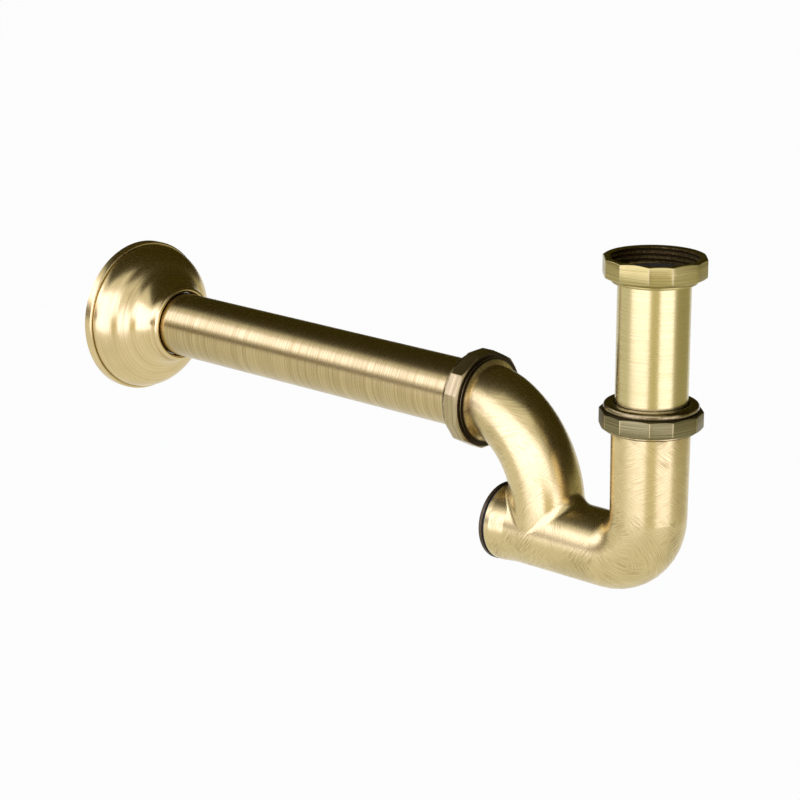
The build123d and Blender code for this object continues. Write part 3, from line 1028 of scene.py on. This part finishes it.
def wound_ridge(name, radius, end, place, material):
    """A ridge wound round local +Z up to a height, rooted in a cylinder of this radius."""
    mesh = bmesh.new()
    root_r = radius - RIDGE_SUNK
    crest = (radius + RIDGE_HEIGHT, 0, RIDGE_START + RIDGE_WIDTH / 2)
    corners = [(root_r, 0, RIDGE_START), crest, (root_r, 0, RIDGE_START + RIDGE_WIDTH)]
    verts = [mesh.verts.new(corner) for corner in corners]
    face = mesh.faces.new(verts)
    turns = (end - RIDGE_START - RIDGE_WIDTH) / THREAD_PITCH
    steps = int(turns * RIDGE_STEPS)
    bmesh.ops.spin(
        mesh, geom=verts + face.edges[:] + [face], cent=(0, 0, 0), axis=(0, 0, 1),
        dvec=(0, 0, THREAD_PITCH * turns / steps), angle=2 * pi * turns, steps=steps, use_merge=False,
    )
    bmesh.ops.remove_doubles(mesh, verts=mesh.verts, dist=SAME_SPOT)
    bmesh.ops.recalc_face_normals(mesh, faces=mesh.faces)
    return finished_piece(name, mesh, [material], place)


body_end = BODY_THREAD_LENGTH - BODY_RUN_OUT
plug_end = PLUG_THREAD_LENGTH - PLUG_RUN_OUT
inlet_place = Matrix.Translation((0, 0, inlet_low.z - NUT_GAP))
outlet_place = along_wall(outlet_high.x + NUT_GAP, outlet_z)
plug_place = along_wall(plug_high.x, leg_z)
inlet_ridge = wound_ridge("inlet_end_thread", BODY_THREAD_R, body_end, inlet_place, body_brass)
outlet_ridge = wound_ridge("outlet_end_thread", BODY_THREAD_R, body_end, outlet_place, body_brass)
plug_ridge = wound_ridge("plug_thread", PLUG_THREAD_R, plug_end, plug_place, plug_bronze)
for piece, body, slot in (
    (inlet_ridge, "trap_body", "cast_brass"),
    (outlet_ridge, "trap_body", "cast_brass"),
    (plug_ridge, "cleanout_plug", "dark_bronze"),
):
    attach(piece, body)

# %% [markdown]
# Metal shows what stands round it, so the studio matters as much as the finish. The floor lies well
# below the trap, as it does under a basin. The floor and the world show white to the camera and to
# reflections; to other rays the floor is a pale lit surface and the world a dimmer white, so that
# they stay white without lighting the trap too much.

# %% Floor and world
FLOOR_Z = -0.62
FLOOR_SIZE = 12.0
FLOOR_GLOW = 0.96
AIR_LIGHT = 0.45
WHITE = colour(1, 1, 1)


def sees_background(finish):
    """1 for rays from the camera, from reflections and through glass, and 0 for others."""
    camera_ray = finish.node("ShaderNodeLightPath", output="Is Camera Ray")
    glossy_ray = finish.node("ShaderNodeLightPath", output="Is Glossy Ray")
    glass_ray = finish.node("ShaderNodeLightPath", output="Is Transmission Ray")
    return (camera_ray + glossy_ray + glass_ray).clamped()


def glow(finish, tone):
    """A shader that shows one tone in any light."""
    return finish.node("ShaderNodeEmission", None, {"Color": tone, "Strength": 1.0})


def show_instead(finish, shader):
    """Shows this shader in place of the Principled one."""
    finish.set(finish.tree.nodes["Material Output"].inputs["Surface"], shader)


def floor_finish():
    """A pale floor that shows nearly white and keeps a trace of shadow."""
    finish = Finish("pale_floor")
    finish.surface(Base_Color=colour(0.88, 0.88, 0.88), Roughness=0.9)
    lit = Wire(finish, finish.shader.outputs[0])
    white_share = sees_background(finish) * FLOOR_GLOW
    show_instead(
        finish, finish.node("ShaderNodeMixShader", None, [white_share, lit, glow(finish, WHITE)])
    )
    return finish.material


def board(name, size_x, size_y, material, place):
    """A flat rectangle that faces its local +Z."""
    mesh = bmesh.new()
    bmesh.ops.create_grid(mesh, x_segments=1, y_segments=1, size=0.5)
    bmesh.ops.scale(mesh, vec=(size_x, size_y, 1), verts=mesh.verts)
    bmesh.ops.transform(mesh, matrix=place, verts=mesh.verts)
    data = bpy.data.meshes.new(name)
    mesh.to_mesh(data)
    mesh.free()
    data.materials.append(material)
    made = bpy.data.objects.new(name, data)
    bpy.context.scene.collection.objects.link(made)
    return made


board("floor", FLOOR_SIZE, FLOOR_SIZE, floor_finish(), Matrix.Translation((0, 0, FLOOR_Z)))
studio = Surroundings("studio")
studio.surface(Color=WHITE, Strength=AIR_LIGHT + sees_background(studio) * (1 - AIR_LIGHT))
bpy.context.scene.world = studio.world
bpy.context.scene.view_settings.view_transform = "Standard"
print("floor at", FLOOR_Z)

# %% [markdown]
# Two tall soft boxes stand left and right of the camera and draw the two long highlights on the
# upright tube. A third lights the left side. Lamps are placed by angle from the camera, because
# that is how a photographer walks round a table.

# %% Soft boxes
STUDIO_CENTRE = Vector((-0.12, 0, -0.09))
LAMP_COLOUR = (0.95, 0.95, 1.62)
LAMP_DISTANCE = 1.6


def facing_place(azimuth, distance, height):
    """Place of an upright board, turned to the trap, at an azimuth right of the camera in degrees."""
    outwards = to_camera * cos(radians(azimuth)) + to_right * sin(radians(azimuth))
    middle = STUDIO_CENTRE + outwards * distance + Vector((0, 0, height))
    return Matrix.Translation(middle) @ outwards.to_track_quat("Z", "Y").to_matrix().to_4x4()


def soft_box(name, azimuth, half_angle, low, high, brightness):
    """An upright rectangular lamp that spans two elevations; brightness 1 is a white wall."""
    lamp = bpy.data.lights.new(name, "AREA")
    lamp.shape = "RECTANGLE"
    bottom = LAMP_DISTANCE * tan(radians(low))
    top = LAMP_DISTANCE * tan(radians(high))
    lamp.size = 2 * LAMP_DISTANCE * tan(radians(half_angle))
    lamp.size_y = top - bottom
    lamp.energy = brightness * pi * lamp.size * lamp.size_y
    lamp.color = LAMP_COLOUR
    box = bpy.data.objects.new(name, lamp)
    box.matrix_world = facing_place(azimuth, LAMP_DISTANCE, (top + bottom) / 2)
    box.visible_camera = False
    bpy.context.scene.collection.objects.link(box)


soft_box("left_soft_box", azimuth=-30, half_angle=48, low=-18, high=40, brightness=1.7)
soft_box("right_soft_box", azimuth=37, half_angle=22, low=-18, high=5, brightness=1.75)
soft_box("side_soft_box", azimuth=-98, half_angle=18, low=14, high=33, brightness=1.75)
print("three soft boxes")

# %% [markdown]
# In an all-white studio polished brass looks flat. Dark boards overhead, behind and at the sides
# give it the deep browns along the tops of the pipes. Only reflections see them: they take no light
# from the trap and throw no shadow.

# %% Dark boards
DARK_TONE = colour(0.050, 0.040, 0.005)
SKIRT_TONE = colour(0.17, 0.125, 0.030)
RIGHT_TONE = colour(0.50, 0.47, 0.30)
ROOM_TONE = colour(0.78, 0.72, 0.38)
CEILING_HEIGHT = 1.3


def dark_board(name, tone, size_x, size_y, place):
    """A board of one dark tone that only reflections see."""
    finish = Finish(name + "_tone")
    show_instead(finish, glow(finish, tone))
    made = board(name, size_x, size_y, finish.material, place)
    made.visible_camera = False
    made.visible_diffuse = False
    made.visible_shadow = False
    made.visible_transmission = False


def ceiling_board(name, left, right, back, front):
    """A dark board overhead; its sides are measured from the middle of the studio."""
    middle = STUDIO_CENTRE + Vector((0, 0, CEILING_HEIGHT))
    middle += to_right * (left + right) / 2 + to_camera * (back + front) / 2
    place = Matrix.Translation(middle) @ Matrix.Rotation(CAMERA_AZIMUTH, 4, "Z")
    dark_board(name, DARK_TONE, right - left, front - back, place)


def upright_board(name, tone, width, tall, azimuth, distance, height):
    """A dark board that stands round the trap."""
    dark_board(name, tone, width, tall, facing_place(azimuth, distance, height))


ceiling_board("back_ceiling", left=-1.35, right=2.4, back=-3.2, front=0.5)
ceiling_board("right_ceiling", left=0.6, right=2.4, back=0.5, front=1.4)
upright_board("back_board", DARK_TONE, 3.6, 1.5, azimuth=178, distance=1.7, height=0.72)
upright_board("right_board", DARK_TONE, 2.6, 1.5, azimuth=106, distance=1.5, height=0.82)
upright_board("right_low_board", RIGHT_TONE, 2.2, 0.66, azimuth=99, distance=1.55, height=-0.21)
upright_board("room_board", ROOM_TONE, 0.78, 0.60, azimuth=2, distance=1.45, height=-0.22)
upright_board("side_skirt", SKIRT_TONE, 1.9, 0.30, azimuth=-104, distance=1.55, height=0.08)
print("seven dark boards")

# %% [markdown]

# %% End of the scene
print("the scene is built")
